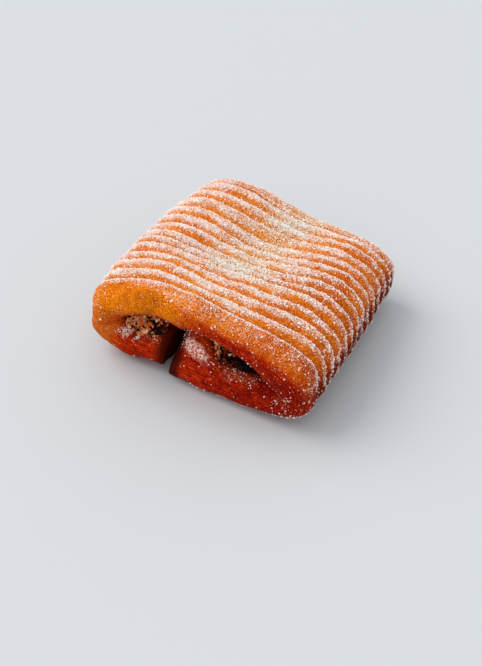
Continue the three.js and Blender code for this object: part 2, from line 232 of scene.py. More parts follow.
def opening_share(x, right_wedge):
    """How far the opening gapes, from crease to crease; on the right it closes as a wedge."""
    xi = np.clip((x - CREASE_MIDDLE) / CREASE_HALF, -1, 1)
    rounded = (1 - np.abs(xi) ** OPENING_SQUARENESS["across"]) ** OPENING_SQUARENESS["up"]
    wedge = 1 - smoothstep(xi, RIGHT_WEDGE["from"], RIGHT_WEDGE["to"])
    return np.where(xi < 0, rounded, lerp(rounded, wedge, right_wedge))


def roof_at(x, y):
    swollen = smoothstep(-y, LIP_SWELLING["from"], LIP_SWELLING["to"])
    thicker = LIP_SWELLING["thickness"] * swollen * bell(x - LIP_SWELLING["x"], LIP_SWELLING["half_width"])
    sheet = SHEET + thicker
    crease = crease_at(x, y)
    opening = np.maximum(opening_share(x, RIGHT_WEDGE["share"]), 0)
    return crease + np.maximum(top_at(x, y) - sheet - crease, 0) * opening


def floor_at(x, y, side):
    nose = NOSE_LEFT if side < 0 else NOSE_RIGHT
    swell = along(nose["height"], y) * smoothstep(HALF_LENGTH - np.abs(y), *NOSE_SLOPE)
    crease = crease_at(x, y)
    opening = np.maximum(opening_share(x, 0), 0)
    full = FLAP + swell * steep_bell(x - nose["x"], nose["half_width"])
    ceiling = roof_at(x, y) - NOSE_CLEARANCE * np.maximum(opening, 0.05)
    return np.minimum(crease + (full - crease) * opening, ceiling)


print("height of the top in the middle", round(float(top_at(np.array(0.0), np.array(0.0))), 1), "mm")

# %% [markdown]
# ## Stations and rows
#
# The sheet is skinned by a net of points. Stations run along the sheet: from one nose under the pastry,
# round the left flank, over the top and back under to the other nose. Rows run round the sheet's own
# section: over the outside from back to front, round the front lip, back along the inside and round the
# back lip. The rows on the outside follow the score lines, so each groove stays sharp.

# %% Stations along the sheet
SEAM_TURN = -math.pi / 2 - 0.14  # the seam lies a little left of the middle, underneath
FLAP_STATIONS = 36
TOP_STATIONS = 236
NOSE_TURNS = np.radians((84, 76, 66, 54, 42, 28, 14))


def even_turns(from_turn, to_turn, count):
    """Turns at even steps along the outline between two turns."""
    turns = np.linspace(from_turn, to_turn, 2000)
    x, z = outline_at(turns, 0.0)
    lengths = np.concatenate(([0], np.cumsum(np.hypot(np.diff(x), np.diff(z)))))
    return np.interp(np.linspace(0, lengths[-1], count), lengths, turns)


left_turns = even_turns(SEAM_TURN, -math.pi, FLAP_STATIONS)
top_turns = even_turns(math.pi, 0, TOP_STATIONS)
right_turns = even_turns(0, SEAM_TURN, FLAP_STATIONS)

# Each station: its side (0 is the top), its turn, its share of its stretch, and the rounding of its nose.
stations = [(-1, left_turns[0], 0.0, turn) for turn in NOSE_TURNS]
stations += [(-1, turn, i / (FLAP_STATIONS - 1), 0.0) for i, turn in enumerate(left_turns[:-1])]
stations += [(0, turn, i / (TOP_STATIONS - 1), 0.0) for i, turn in enumerate(top_turns)]
stations += [(1, turn, 1 - i / (FLAP_STATIONS - 1), 0.0) for i, turn in enumerate(right_turns) if i]
stations += [(1, right_turns[-1], 0.0, turn) for turn in NOSE_TURNS[::-1]]
side, turn, share, nose_turn = (np.array(column)[:, None] for column in zip(*stations))
print(len(stations), "stations")

# %% [markdown]
# A score line isn't ruled: it wanders by a few tenths of a millimetre and is cut deeper in some places. The
# ridge between two lines rises gently towards the back and drops steeply into the next line, like a roof
# tile, because the dough rose towards the back as it baked.

# %% Rows across the sheet
RIDGE_STEPS = (0.0, 0.03, 0.075, 0.135, 0.21, 0.29, 0.38, 0.47, 0.56, 0.65, 0.735, 0.81, 0.875, 0.93, 0.97)
CREST = 0.72  # where a ridge is highest, on its way from the line in front of it to the one behind
RIDGE_RISE, RIDGE_FALL = 2.3, 2.5  # powers that round its two slopes
EDGE_STEPS = (0.12, 0.28, 0.46, 0.7)  # between the outermost lines and the lips
GROOVE_RUNS_OUT = 0.6  # the share of that way over which the outermost grooves run out
LIP_STEPS = 26
INNER_ROWS = 34
SCORE_WANDER = 0.6
SCORE_WANDER_LENGTH = 12.0
SCORE_UNEVENNESS = 0.4  # of a line's depth


def score_at(k, x):
    left, middle, right = SCORES[k]
    xi = x / HALF_WIDTH
    left_part = lerp(left, middle, smoothstep(xi, -0.75, 0.3))
    right_part = lerp(middle, right, smoothstep(xi, 0.3, 0.8))
    line = np.where(xi < 0.3, left_part, right_part)
    spots = np.stack([x, np.full_like(x, 40.0 * k), np.zeros_like(x)], axis=-1)
    return line + SCORE_WANDER * noise_at(spots, SCORE_WANDER_LENGTH, 1)


def ridge_height(phase):
    """A ridge's height, as a share of the depth of the lines, at its way from line to line."""
    if phase < CREST:
        return 1 - (1 - phase / CREST) ** RIDGE_RISE
    return 1 - ((phase - CREST) / (1 - CREST)) ** RIDGE_FALL


station_x = outline_at(turn, 0.0)[0]
lines = [score_at(k, station_x) for k in range(len(SCORES))]
LAST = len(SCORES) - 1
rows = []  # each: its Y at every station, its share of the way in, its groove share and its phase


def add_edge_row(line, lip, step, phase):
    """A row between an outermost score line and the lip, where the groove runs out."""
    rows.append((lerp(line, lip, step), 0.0, max(1 - step / GROOVE_RUNS_OUT, 0) ** 2, phase))


def add_lip_rows(angles, way):
    """Rows round the front lip, with a way of -1, or round the back one, with 1."""
    for angle in angles:
        y = flat_row + way * (LIP_START + LIP_REACH * math.sin(angle))
        rows.append((y, (1 - math.cos(angle)) / 2, 0.0, 0.0))


for step in reversed(EDGE_STEPS):
    add_edge_row(lines[LAST], LIP_START, step, step)
for k in reversed(range(LAST)):
    rows.append((lines[k + 1], 0.0, 1.0, 1.0))
    for phase in reversed(RIDGE_STEPS[1:]):
        rows.append((lerp(lines[k], lines[k + 1], phase), 0.0, 1 - ridge_height(phase), phase))
rows.append((lines[0], 0.0, 1.0, 0.0))
for step in EDGE_STEPS:
    add_edge_row(lines[0], -LIP_START, step, 1 - step)
OUTER_ROWS = len(rows)
lip_turns = np.linspace(0, math.pi, LIP_STEPS)
flat_row = np.zeros_like(station_x)
add_lip_rows(lip_turns, -1)
for y in np.linspace(-LIP_START, LIP_START, INNER_ROWS + 2)[1:-1]:
    rows.append((flat_row + y, 1.0, 0.0, 0.0))
add_lip_rows(reversed(lip_turns), 1)
row_y = np.concatenate([row[0] for row in rows], axis=1)
depth_share, groove, phase = (np.array(column)[None, :] for column in list(zip(*rows))[1:])
print(len(rows), "rows,", OUTER_ROWS, "of them on the outside")

# %% [markdown]
# ## Skinning the dough
#
# Every point lies between an outer and an inner point of its station. On a folded end the rows draw back a
# little from the lips, and at a nose they close round the sheet's edge. The noses are rounded in plan, but
# at the front the seam is nearly shut, so there their outer corners are squarer. The grooves and the
# unevenness of the crust are then pushed in along the surface's own normals.

# %% Skin of the dough
def flap_y(y, from_nose, which):
    set_back = FLAP_SET_BACK[which]
    return y * (1 - set_back * smoothstep(1 - from_nose, 0, 0.5) / HALF_LENGTH)


def flap_points(which, turns, from_nose, y):
    """Outer X and Z, inner X and Z, and Y of the rows on a folded end."""
    y = flap_y(y, from_nose, which)
    outer_x, outer_z = outline_at(turns, y)
    start = SEAM["bottom"] + which * (SEAM["gap"] / 2 + NOSE_REACH)
    outer_x = outer_x + (start - outline_at(SEAM_TURN, y)[0]) * (1 - from_nose)
    if which < 0:
        outer_z = outer_z + lift_at(outer_x, y)
    in_mouth = smoothstep(np.abs(y), SEAM_MOUTH["from"], SEAM_MOUTH["to"])
    mouth = lerp(SEAM["gap"], SEAM_MOUTH["gap"], in_mouth)
    crease = CREASE_LEFT if which < 0 else CREASE_RIGHT
    start = SEAM["top"] + which * (mouth / 2 + NOSE_REACH)
    inner_x = lerp(start, crease["x"], np.sin(from_nose * math.pi / 2))
    return outer_x, outer_z, inner_x, floor_at(inner_x, y, which), y


def top_points(turns, from_left, y):
    outer_x, outer_z = outline_at(turns, y)
    inner_x = CREASE_MIDDLE - CREASE_HALF * np.cos(from_left * math.pi) + 0 * y
    return outer_x, outer_z, inner_x, roof_at(inner_x, y), y


parts = []
for which in (-1, 0, 1):
    rows_of = (side == which)[:, 0]
    make = top_points if which == 0 else (lambda *values, which=which: flap_points(which, *values))
    parts.append(np.stack(make(turn[rows_of], share[rows_of], row_y[rows_of]), axis=-1))
outer_x, outer_z, inner_x, inner_z, skin_y = np.moveaxis(np.concatenate(parts), -1, 0)

closing = np.cos(nose_turn) ** NOSE_SQUARENESS
way_in = 0.5 + (depth_share - 0.5) * closing
corner = np.clip((HALF_LENGTH - np.abs(row_y)) / NOSE_CORNER, 0, 1)
rounded_corner = np.sqrt(1 - (1 - corner) ** 2)
left_squarer = MOUTH_CORNERS["left"] * (1 - MOUTH_CORNERS["left_inside"] * way_in)
right_squarer = MOUTH_CORNERS["right"] * (1 - MOUTH_CORNERS["right_inside"] * way_in)
squarer = np.where(side < 0, left_squarer, right_squarer) * (row_y < 0)
square_corner = 1 + MOUTH_CORNERS["left_bulge"] * (1 - corner) ** 2 * (side < 0)
rounded_corner = lerp(rounded_corner, square_corner, squarer)
reach = -side * NOSE_REACH * np.sin(nose_turn) ** NOSE_SQUARENESS * rounded_corner
at_seam = np.where(side == 0, 0, (1 - share) ** 3)
bow = SEAM["bow"] * 4 * way_in * (1 - way_in) * at_seam
skin = np.stack([
    lerp(outer_x, inner_x, way_in) + reach - bow,
    skin_y,
    lerp(outer_z, inner_z, way_in),
], axis=-1)
print("skin", skin.shape, "from", skin.min((0, 1)).round(1), "to", skin.max((0, 1)).round(1))

# %% Grooves and unevenness
def normals_of(net):
    """Unit normals of a net whose rows close on themselves."""
    along_rows = np.roll(net, -1, axis=1) - np.roll(net, 1, axis=1)
    along_stations = np.gradient(net, axis=0)
    normals = np.cross(along_rows, along_stations)
    return normals / np.maximum(np.linalg.norm(normals, axis=-1, keepdims=True), 1e-9)


UNEVENNESS = ((0.8, 13.0, 3), (0.35, 4.2, 4), (0.25, 1.7, 5))  # height and size of the lumps, seed
normals = normals_of(skin)
normals *= np.sign(normals[len(stations) // 2, OUTER_ROWS // 2, 2])  # the top's normals point up
x, y, z = np.moveaxis(skin, -1, 0)
outside = depth_share == 0
above_table = smoothstep(z, 0.2, 3.0)

cut_depth = lerp(SCORE_DEPTH, SCORE_DEPTH_IN_DENT, np.where(z > SHEET, dent_bell(x, y, 0.8), 0))
cut_depth = cut_depth * (1 + SCORE_UNEVENNESS * noise_at(skin * (1, 2, 1), 11.0, 2))
cut_depth = cut_depth * smoothstep(z, 1, SCORE_FADE)
cut_depth = np.where(nose_turn > 0, 0, cut_depth)

broad, lumpy, fine = (height * noise_at(skin, lump, seed) for height, lump, seed in UNEVENNESS)
unevenness = (broad + lumpy * np.where(outside, 1.0, 0.6) + fine) * above_table
skin = skin + normals * (unevenness - groove * cut_depth)[..., None]
skin[..., 2] = np.maximum(skin[..., 2], 0)
MIDDLE_SHIFT = (cad_bounds[0][0] + cad_bounds[1][0]) / 2 / MM - (x.min() + x.max()) / 2
skin[..., 0] += MIDDLE_SHIFT
print("grooves up to", (groove * cut_depth).max().round(2), "mm deep, shifted by", round(MIDDLE_SHIFT, 2))

# %% [markdown]
# ## Where the sugar lies
#
# The pastry was sugared from above. Sugar lies on the back half of each ridge and has gathered in the dent,
# while the steep front of a ridge stays bare. The lip at the front left was never sugared. These patterns
# belong to the net of points, so they are worked out here and stored on the mesh, for the grains and for
# the colours alike. Each runs from 0 to about 1.
#
# What is seen at one place alone is a spot: 1 in its middle, falling off over its sizes along X, Y and Z.

# %% Places on the crust
DRIFTS = (  # where sugar has gathered in the dent: middle, sizes and how much
    ((3, 32, 35), (9, 7, 90), 0.78),
    ((6, 10, 35), (7, 7, 90), 0.45),
    ((3, -12, 35), (13, 5, 90), 0.85),
    ((-13, -13, 40), (10, 3.5, 90), 0.45),
)
SPOTS = {  # middle and sizes
    "bare band": ((3, 19.5, 35), (15, 4.5, 90)),
    "right corner": ((46, -47, 8), (6, 7, 8)),
    "left curl": ((-33, -47, 15), (6.5, 5, 3.2)),
    "left bend": ((-40, -47, 18), (8, 6, 8)),
    "left rim": ((-21, -44.5, 17.8), (8, 5, 2.5)),
    "right rim": ((19, -45, 14.8), (11, 5, 2.4)),
    "seam edge": ((-7, -43.5, 21.5), (3, 3, 1.4)),
}


def spot(centre, size):
    """1 at a place on the pastry, falling off over the given sizes along X, Y and Z."""
    return np.exp(-sum(((v - c) / s) ** 2 for v, c, s in zip((x, y, z), centre, size)))


at = {name: spot(*place) for name, place in SPOTS.items()}
at["right rim"] = at["right rim"] * (side > 0)
xi = (x - middle_at(y)) / half_width_at(y)  # -1 on the left flank, 1 on the right one
right_flank = smoothstep(xi, 0.3, 0.95)
far_right = smoothstep(xi, 0.55, 1.0)
front_lip = row_y < lines[0]
lip_angle = np.where(depth_share < 1, np.arccos(1 - 2 * np.clip(depth_share, 0, 1)), math.pi)
patches = noise_at(skin * (0.45, 1, 1), 3.0, 6)  # drawn out along the score lines
clusters = noise_at(skin, 1.6, 12)
clustered = smoothstep(clusters, 0.02, 0.2)
wide_patches = noise_at(skin, 12.0, 7)
print(len(SPOTS), "spots and", len(DRIFTS), "drifts of sugar")

# %% Sugar on the ridges
BARE_SHARE = 0.20  # of a ridge's way from the line in front of it: this much stays bare
SUGAR_SETS_IN = 0.32  # and over this much the sugar sets in
FEWEST_GRAINS, MOST_GRAINS = 0.05, 0.82

bare_until = BARE_SHARE + 0.16 * right_flank + 0.10 * wide_patches
covered = smoothstep(phase + 0.14 * patches, bare_until, bare_until + SUGAR_SETS_IN)
covered = covered * (1 - 0.75 * smoothstep(phase, 0.95, 1.0))  # little stays at the line behind
golden = bell(x - 4, 14) * smoothstep(y, -24, -14) * smoothstep(z, 18, 28)  # the dent is baked less
drift = 0.20 * golden
for place, size, amount in DRIFTS:
    drift = 1 - (1 - drift) * (1 - amount * spot(place, size))
most = MOST_GRAINS - 0.46 * far_right + 0.16 * drift**2
on_ridges = lerp(FEWEST_GRAINS, most, 1 - (1 - covered) * (1 - drift))
on_ridges = on_ridges * (1 - 0.12 * golden) * (1 - 0.72 * at["bare band"])
print("mean sugar on the ridges", on_ridges.mean().round(3))

# %% Sugar on the lips and the folded ends
BARE_LIP_X = (-46, -35, -24, -15, -8, -2)
BARE_LIP_Y = (-44.5, -44.2, -45.4, -47.3, -49.4, -51.5)  # in front of these the left of the lip is bare
STRAY_GRAINS = 0.009  # of the most that lie anywhere
STRAY_ON_FLAPS = 0.006

bare_from = np.interp(x, BARE_LIP_X, BARE_LIP_Y)
bare_lip = smoothstep(bare_from - y + 1.6 * patches, -1.4, 1.2) * smoothstep(-x, -9, 9)
on_lip = lerp(0.24, 0.09, smoothstep(lip_angle, 0.0, 0.9)) * (1 - smoothstep(lip_angle, 0.8, 1.3))
on_lip = on_lip * (0.88 - 0.4 * right_flank) * (1 + 1.5 * clusters)
crest_line = 0.9 * bell(row_y - (lines[0] - 1.1), 0.6) * outside
on_lip = (on_lip + crest_line) * (1 - bare_lip) + STRAY_GRAINS + 0.05 * smoothstep(-x, 38, 47)
on_front = np.where(side == 0, on_lip, STRAY_ON_FLAPS)
on_back = np.where(side == 0, 0.3, 0.10) * (1 - smoothstep(lip_angle, 1.2, 2.2))

sugar = np.where(outside & ~front_lip, on_ridges, on_front)
sugar = np.where(row_y > LIP_START, on_back, sugar)
underneath = outside & (side != 0)
sugar = np.where(underneath, 0.5 * sugar * smoothstep(np.abs(x), 25, 48), sugar)
print("mean sugar without the clumps", sugar.mean().round(3))

# %% [markdown]
# A few clumps make a pastry look like itself: at the right corner, on the left curl, along the rims of the
# two openings and at the front edge where it lies on the table. On the right nose sugar melted to a glaze,
# whose white is partly a painted sheen. In the seam between the noses there is none, but for a thin line on
# its right edge, and the seam is painted dark as painted shade.

# %% Clumps of sugar, glaze and seam
corner_clump = (0.03 + 0.40 * clustered) * at["right corner"]
curl_clump = clustered * smoothstep(at["left curl"], 0.3, 0.7)
on_rims = 0.14 * at["left rim"] + 0.20 * at["right rim"]
on_seam_edge = 0.7 * at["seam edge"] * (side > 0)
on_base_edge = 0.35 * clustered * bell(z - 2.0, 1.3) * smoothstep(-y, 40, 46) * smoothstep(x, -10, 5)
# the glaze on the right nose; its white is partly frosted sugar and partly a painted sheen
glaze = bell(x + 1.6, 7.0) * bell(z - 19.1 + 0.05 * x, 2.9) * smoothstep(-y, 36, 42) * (side > 0)
glaze = smoothstep(glaze + 0.5 * patches, 0.38, 0.62)
# painted shade in the seam between the noses, which also keeps sugar out of it
seam_shade = np.where(side < 0, smoothstep(x, -21, -16), smoothstep(-x, 5, 8.5)) * (side != 0)

sugar = np.maximum.reduce([sugar, corner_clump, curl_clump, on_rims, 0.15 * glaze])
sugar = np.clip(sugar * (1 + 0.6 * patches), 0, 1) * smoothstep(z, 0.5, 5) * (1 - seam_shade)
sugar = np.maximum.reduce([sugar, on_seam_edge, on_base_edge])
sugar = sugar * (1 - 0.4 * right_flank * (1 - smoothstep(z, 5, 24)))
coarse = sugar * np.where(front_lip, 0.25, 0.5 + 0.5 * right_flank) + corner_clump + curl_clump * 0.4
print("mean sugar", sugar.mean().round(3), "mean of the coarse pattern", coarse.mean().round(3))

# %% [markdown]
# ## How dark the crust is
#
# The crust is darkest low on the right flank and on the right folded end; low on the right flank this is
# partly darker baking and partly painted shade, as that flank is turned away from the light. Where the sheet
# was cut, on the faces of its lips and folded ends, it baked to a red brown. The bare lip at the front left
# is ochre. Deep in the openings and in the seam the crust is painted dark as painted shade, and on the rim
# of the right opening and at the bend of the left curl it is painted lighter as painted light.

# %% Baking
low = 1 - smoothstep(z, 6, 30)
round_the_lip = np.where(depth_share > 0, lip_angle, 0)
cut_face = smoothstep(round_the_lip, 0.7, 1.9)
low_lip = smoothstep(round_the_lip, 0.6, 1.35) * smoothstep(x, -26, 14) * (side == 0)
cut_face = np.where(y < 0, np.maximum(cut_face, low_lip), cut_face)

# low on the right flank the crust is partly darker baking and partly painted shade, as that flank is turned
# from the light
bake = 0.18 + 0.20 * right_flank + 0.42 * low + 0.7 * right_flank * low + 0.25 * wide_patches
bake = bake + front_lip * (0.10 + 0.08 * smoothstep(x, -10, 40)) + 0.35 * cut_face * (side == 0)
bake = bake + 0.20 * smoothstep(x, 5, 30) * (side > 0)  # the right folded end
bake = np.clip(bake + 0.3 * front_lip * smoothstep(-x, 44, 52), 0, 1)  # the far left of the front lip
# painted light: lighter on the rim of the right opening, under the lip, and at the bend of the left curl
bake = np.clip(bake - 0.6 * at["right rim"] - 0.4 * at["left bend"] - 0.06 * (side < 0), 0, 1)

red = cut_face + 0.8 * smoothstep(-y, 36, 44) * low + 0.15 * front_lip * smoothstep(x, -5, 45)
# painted light: less red on the rim of the right opening, under the lip
red = np.clip(red * lerp(0.25, 1, smoothstep(x, -48, -26)) * (1 - 0.4 * at["right rim"]), 0, 1)

# painted shade deep in the openings; with the painted shade in the seam it makes the shade pattern
inside = smoothstep(depth_share + 0 * x, 0.75, 1.0) * smoothstep(HALF_LENGTH - np.abs(y), 8, 18)
shade = np.maximum(inside, seam_shade * (1 - glaze))
ochre = bare_lip * (side == 0) * smoothstep(z, 14, 34) * (1 - smoothstep(lip_angle, 1.7, 2.4)) * (row_y < 0)
print("mean baking", bake.mean().round(3))

# %% [markdown]
# ## From net to mesh
#
# The net becomes quads, with the rows closed on themselves. The two noses end in a loop, which is closed
# by a strip of triangles between its outer and its inner half.

# %% Mesh of the dough
def mesh_object(name, points, faces):
    """A smooth mesh object from points in millimetres."""
    mesh = bpy.data.meshes.new(name)
    mesh.from_pydata((points.reshape(-1, 3) * MM).tolist(), [], faces)
    mesh.update()
    mesh.shade_smooth()
    made = bpy.data.objects.new(name, mesh)
    bpy.context.scene.collection.objects.link(made)
    return made


def store(piece, name, values):
    """Keeps one number for each point of the piece, for its material and its grains."""
    attribute = piece.data.attributes.new(name, "FLOAT", "POINT")
    attribute.data.foreach_set("value", np.ascontiguousarray(values, dtype=np.float32).ravel())


def quads(loops, count):
    """Quads between closed loops of points, each of the same count."""
    faces = []
    for i in range(loops - 1):
        for j in range(count):
            a, b = i * count + j, i * count + (j + 1) % count
            faces.append((a, b, b + count, a + count))
    return faces


def close_loop(first, y_values, inward, flip):
    """Triangles across a loop of rows, between those on its outer half and those on its inner half."""
    halves = [[j for j in range(len(inward)) if (inward[j] >= 0.5) == half] for half in (False, True)]
    outer, inner_half = (sorted(half, key=lambda j: -y_values[j]) for half in halves)
    faces, i, k = [], 0, 0
    while i < len(outer) - 1 or k < len(inner_half) - 1:
        step_outer = k >= len(inner_half) - 1
        if not step_outer and i < len(outer) - 1:
            step_outer = y_values[outer[i + 1]] > y_values[inner_half[k + 1]]
        if step_outer:
            face = (outer[i], outer[i + 1], inner_half[k])
            i += 1
        else:
            face = (outer[i], inner_half[k + 1], inner_half[k])
            k += 1
        faces.append(tuple(first + j for j in (face[::-1] if flip else face)))
    return faces


count_i, count_j = skin.shape[:2]
faces = quads(count_i, count_j)
faces += close_loop(0, skin_y[0], depth_share[0], True)
faces += close_loop((count_i - 1) * count_j, skin_y[-1], depth_share[0], False)
dough = mesh_object("baked_dough", skin, faces)
print(len(dough.data.polygons), "faces on the dough")

# %% [markdown]
# The patterns become attributes of the mesh. One more, the flow, says how far a point lies along the sheet
# and round its section, so that the layers of a cut face can follow the sheet round its curl.

# %% Patterns on the mesh
PATTERNS = {
    "sugar": sugar, "coarse": coarse, "golden": golden, "drift": drift, "bake": bake, "red": red,
    "shade": shade, "ochre": ochre, "glaze": glaze, "groove": groove * (cut_depth > 0),
}


def lengths_along(points):
    """How far each point of a line of points lies from its first."""
    return np.concatenate(([0], np.cumsum(np.linalg.norm(np.diff(points, axis=0), axis=-1))))


for name, values in PATTERNS.items():
    store(dough, name, np.broadcast_to(values, (count_i, count_j)))

along_sheet = lengths_along(skin[:, OUTER_ROWS // 2])[:, None]
round_section = lengths_along(skin[count_i // 2])
flow = np.stack([np.broadcast_to(v, x.shape) for v in (along_sheet, round_section, 0.0)], axis=-1)
flow_layer = dough.data.attributes.new("flow", "FLOAT_VECTOR", "POINT")
flow_layer.data.foreach_set("vector", (flow * MM).astype(np.float32).ravel())
print(len(dough.data.attributes), "attributes on the dough")

# %% [markdown]
# ## The filling
#
# The filling shows in the two openings. It is a crumbly mass of cream and chocolate that runs through the
# pastry. Its body is a bundle of rings fitted into the cavity, and its two ends are rounded and broken up by
# noise, more strongly than the rest.

# %% Mesh of a filling
FILLING_SIDES = 96
FILLING_STATIONS = 50
FILLING_RINGS = np.sin(np.linspace(0.03, 1, 26) * math.pi / 2)
FILLING_SQUARENESS = 0.6
LUMPS = ((3.6, 4.5, 8), (2.4, 2.1, 9), (1.0, 0.9, 13))  # height and size of the lumps at its ends, seed


def filling_net(size):
    """The net of a filling: closed rings from its front centre along its body to its back centre."""
    reach_y = HALF_LENGTH - size["recess"]
    angles = np.linspace(0, 2 * math.pi, FILLING_SIDES, endpoint=False)[None, :]
    cap = [(-1, -reach_y, ring) for ring in FILLING_RINGS]
    body = [(0, place, 1.0) for place in np.linspace(-reach_y, reach_y, FILLING_STATIONS)[1:-1]]
    end = [(1, reach_y, ring) for ring in FILLING_RINGS[::-1]]
    which_end, place, ring = (np.array(column)[:, None] for column in zip(*(cap + body + end)))
    x = (size["from"] + size["to"]) / 2 + (size["to"] - size["from"]) / 2 * np.cos(angles) + 0 * place
    roof, floor = roof_at(x, place), floor_at(x, place, size["side"])
    room = np.maximum((roof - floor) / 2 - FILLING_CLEARANCE, 0.05)
    z = (roof + floor) / 2 + room * signed_power(np.sin(angles), FILLING_SQUARENESS)
    centre_x, centre_z = x.mean(1, keepdims=True), z.mean(1, keepdims=True)
    net = np.stack([
        lerp(centre_x, x, ring) + MIDDLE_SHIFT,
        place + which_end * size["dome"] * (1 - ring**2) + 0 * x,
        lerp(centre_z, z, ring),
    ], axis=-1)
    lumps = sum(height * noise_at(net, lump, seed) for height, lump, seed in LUMPS)
    net[..., 1] += np.where(which_end == 0, 0, which_end * lumps * (1.05 - ring**6))  # least at the rim
    return net


def filling_faces(loops):
    """Its quads, with a flat face closing the first ring and the last."""
    first = tuple(range(FILLING_SIDES))[::-1]
    last = tuple(range((loops - 1) * FILLING_SIDES, loops * FILLING_SIDES))
    return [first, *quads(loops, FILLING_SIDES), last]


print("rings of", FILLING_SIDES, "points")

# %% [markdown]
# Two numbers are stored on a filling. `cream` says where cream shows at its ends: at the left of each
# opening. `ends` says where broken chocolate lies: on the ends too, but less on the cream and not at the
# far right, which is nearly black.

# %% Fillings and what shows at their ends
CREAM_SETS_IN = {"filling_left": (16, 28), "filling_right": (-11, -6)}  # along -X
LESS_CREAM = {"filling_left": 0.0, "filling_right": 0.08}  # taken off all over
DARK_FROM = (15, 21)  # along X

fillings = {}
for name, size in FILLINGS.items():
    net = filling_net(size)
    piece = mesh_object(name.replace("filling", "chocolate_cream"), net, filling_faces(len(net)))
    end_y = HALF_LENGTH - size["recess"]
    at_ends = smoothstep(np.abs(net[..., 1]), end_y - 1.5, end_y)
    dark = smoothstep(net[..., 0], *DARK_FROM)
    cream = 0.9 * smoothstep(-net[..., 0], *CREAM_SETS_IN[name]) - LESS_CREAM[name]
    cream = np.clip(cream + 0.6 * noise_at(net, 3.0, 10) - 0.5 * dark, -0.6, 1)
    store(piece, "cream", at_ends * cream)
    store(piece, "ends", at_ends * (1 - dark) * (1 - 0.6 * np.clip(cream, 0, 1)))
    fillings[name] = piece
    print(piece.name, len(piece.data.polygons), "faces")

# %% [markdown]
# ## Scattering with Geometry Nodes
#
# Sugar grains, chocolate chips and crumbs of cream are the same job: small bodies lie on a surface where
# its stored number is high, each turned and sized at random. So one tree makes them all. Its inputs are the
# name of the stored number, how many bodies a square metre takes where that number is 1, their size, how
# far they stick out, the body itself, its finish and a seed. The tree ends in real faces, because only
# those are kept.

# %% The scattering tree
INPUTS = (
    ("Pattern", "NodeSocketString"), ("Density", "NodeSocketFloat"), ("Size", "NodeSocketFloat"),
    ("Lift", "NodeSocketFloat"), ("Body", "NodeSocketObject"), ("Finish", "NodeSocketMaterial"),
    ("Seed", "NodeSocketInt"),
)
LEAST_STRETCH, MOST_STRETCH = 0.62, 1.3  # of a body, drawn for each of its axes


def scatter_tree():
    tree = bpy.data.node_groups.new("scatter on a surface", "GeometryNodeTree")
    tree.interface.new_socket("Surface", in_out="INPUT", socket_type="NodeSocketGeometry")
    for name, kind in INPUTS:
        tree.interface.new_socket(name, in_out="INPUT", socket_type=kind)
    tree.interface.new_socket("Bodies", in_out="OUTPUT", socket_type="NodeSocketGeometry")

    def add(kind, settings=(), **links):
        node = tree.nodes.new(kind)
        for key, value in settings:
            setattr(node, key, value)
        for key, value in links.items():
            socket = node.inputs[int(key[1:])] if key[1:].isdigit() else node.inputs[key.replace("_", " ")]
            if isinstance(value, bpy.types.NodeSocket):
                tree.links.new(value, socket)
            else:
                socket.default_value = value
        return node

    given = add("NodeGroupInput").outputs
    pattern = add("GeometryNodeInputNamedAttribute", [("data_type", "FLOAT")], Name=given["Pattern"])
    density = add("ShaderNodeMath", [("operation", "MULTIPLY")], i0=pattern.outputs[0], i1=given["Density"])
    points = add("GeometryNodeDistributePointsOnFaces", Mesh=given["Surface"], Density=density.outputs[0],
                 Seed=given["Seed"])
    lift = add("ShaderNodeVectorMath", [("operation", "SCALE")], i0=points.outputs["Normal"],
               Scale=given["Lift"])
    lifted = add("GeometryNodeSetPosition", Geometry=points.outputs["Points"], Offset=lift.outputs[0])
    spin = add("FunctionNodeRandomValue", [("data_type", "FLOAT_VECTOR")], i0=(0, 0, 0),
               i1=(math.tau, math.tau, math.tau), Seed=given["Seed"])
    stretch = add("FunctionNodeRandomValue", [("data_type", "FLOAT_VECTOR")], i0=(LEAST_STRETCH,) * 3,
                  i1=(MOST_STRETCH,) * 3, Seed=given["Seed"])
    scale = add("ShaderNodeVectorMath", [("operation", "SCALE")], i0=stretch.outputs[0], Scale=given["Size"])
    body = add("GeometryNodeObjectInfo", Object=given["Body"])
    bodies = add("GeometryNodeInstanceOnPoints", Points=lifted.outputs[0], Instance=body.outputs["Geometry"],
                 Rotation=spin.outputs[0], Scale=scale.outputs[0])
    tint = add("FunctionNodeRandomValue", [("data_type", "FLOAT")], Seed=given["Seed"])
    tinted = add("GeometryNodeStoreNamedAttribute", [("data_type", "FLOAT"), ("domain", "INSTANCE")],
                 Geometry=bodies.outputs[0], Name="tint", Value=tint.outputs[1])
    real = add("GeometryNodeRealizeInstances", Geometry=tinted.outputs[0])
    dressed = add("GeometryNodeSetMaterial", Geometry=real.outputs[0], Material=given["Finish"])
    add("NodeGroupOutput", Bodies=dressed.outputs[0])
    return tree


SCATTER = scatter_tree()
print(len(SCATTER.nodes), "nodes in the scattering tree")


# %% Scattering bodies
def scatter(name, surface, body, finish, **values):
    """A new piece: bodies scattered on a surface, made real."""
    carrier = bpy.data.objects.new(name, surface.data)
    bpy.context.scene.collection.objects.link(carrier)
    modifier = carrier.modifiers.new("scatter", "NODES")
    modifier.node_group = SCATTER
    given = {"Body": body, "Finish": finish, **values}
    for item in SCATTER.interface.items_tree:
        if item.in_out == "INPUT" and item.name in given:
            modifier[item.identifier] = given[item.name]
    evaluated = carrier.evaluated_get(bpy.context.evaluated_depsgraph_get())
    mesh = bpy.data.meshes.new_from_object(evaluated)
    carrier.modifiers.remove(modifier)
    carrier.data = mesh
    mesh.name = name
    triangles = sum(len(face.vertices) - 2 for face in mesh.polygons)
    print(name, triangles, "triangles")
    return carrier


